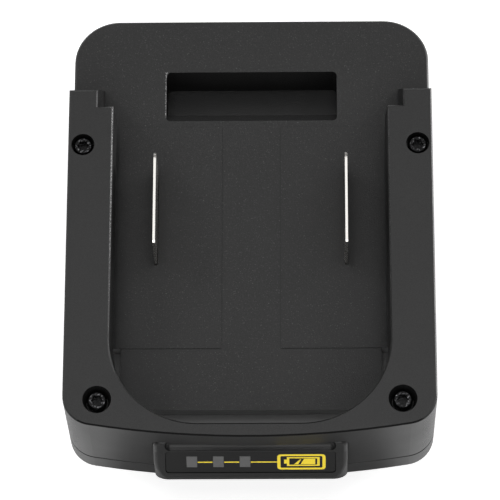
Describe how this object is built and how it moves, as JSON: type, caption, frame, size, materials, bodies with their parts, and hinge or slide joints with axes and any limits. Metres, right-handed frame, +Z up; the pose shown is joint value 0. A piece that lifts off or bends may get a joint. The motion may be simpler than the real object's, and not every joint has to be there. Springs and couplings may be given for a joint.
{
  "type": "tool battery adapter",
  "caption": "Black plastic adapter that takes a slide-on tool battery in its upper receptacle and slides by a railed foot onto a cordless tool, with a charge gauge at the front.",
  "frame": {"origin": "the middle of the footprint, on the underside of the foot that slides onto the tool", "axes": "+Z is up, out of the battery receptacle; +Y points to the open end, where the battery and the tool slide in; the charge gauge looks towards -Y; +X is to the right when the gauge is in front"},
  "size_m": [0.075, 0.1018, 0.039],
  "materials": {
    "housing_plastic": "fine grained black polyamide, smooth on the rim",
    "gauge_face_plastic": "smooth dark gauge face",
    "window_plastic": "smoked clear windows, unlit",
    "contact_metal": "nickel plated copper",
    "screw_steel": "blackened steel",
    "board_laminate": "green solder mask",
    "chip_resin": "black moulding resin",
    "insulator_plastic": "dark grey glass filled plastic",
    "led_resin": "pale diffusing resin",
    "can_aluminium": "satin can",
    "fuse_ceramic": "glazed ceramic",
    "red_sleeve": "red insulation",
    "black_sleeve": "black insulation",
    "white_sleeve": "white insulation",
    "spring_steel": "drawn spring wire"
  },
  "bodies": {
    "housing": {"upper_housing": "housing_plastic", "lower_housing": "housing_plastic", "housing_screws": "screw_steel", "positive_blade": "contact_metal", "negative_blade": "contact_metal", "blade_carrier": "insulator_plastic", "carrier_screws": "screw_steel", "gauge_bezel": "housing_plastic", "gauge_panel": "gauge_face_plastic", "light_guide": "window_plastic", "gauge_board": "board_laminate", "gauge_leds": "led_resin", "gauge_switch": "chip_resin", "protection_board": "board_laminate", "board_screws": "screw_steel", "mosfets": "chip_resin", "controller_chip": "chip_resin", "capacitor": "can_aluminium", "fuse": "fuse_ceramic", "terminal_block": "insulator_plastic", "positive_clip": "contact_metal", "negative_clip": "contact_metal", "signal_clips": "contact_metal", "terminal_block_screws": "screw_steel", "latch_spring_left": "spring_steel", "latch_spring_right": "spring_steel", "positive_lead": "red_sleeve", "negative_lead": "black_sleeve", "positive_output_lead": "red_sleeve", "negative_output_lead": "black_sleeve", "signal_leads": "white_sleeve", "gauge_leads": "white_sleeve"},
    "latch": {"release_latch": "housing_plastic"},
    "key": {"gauge_key": "gauge_face_plastic", "switch_plunger": "insulator_plastic"}
  },
  "joints": [
    {"name": "latch_slide", "type": "slide", "parent": "housing", "child": "latch", "axis": [0, 0, 1], "range_m": [0, 0.0036], "stiffness_N_per_m": 1000, "springref_m": -0.0015, "deforming": ["latch_spring_left", "latch_spring_right"]},
    {"name": "key_slide", "type": "slide", "parent": "housing", "child": "key", "axis": [0, 1, 0], "range_m": [0, 0.0003], "stiffness_N_per_m": 1500, "springref_m": -0.0003}
  ]
}
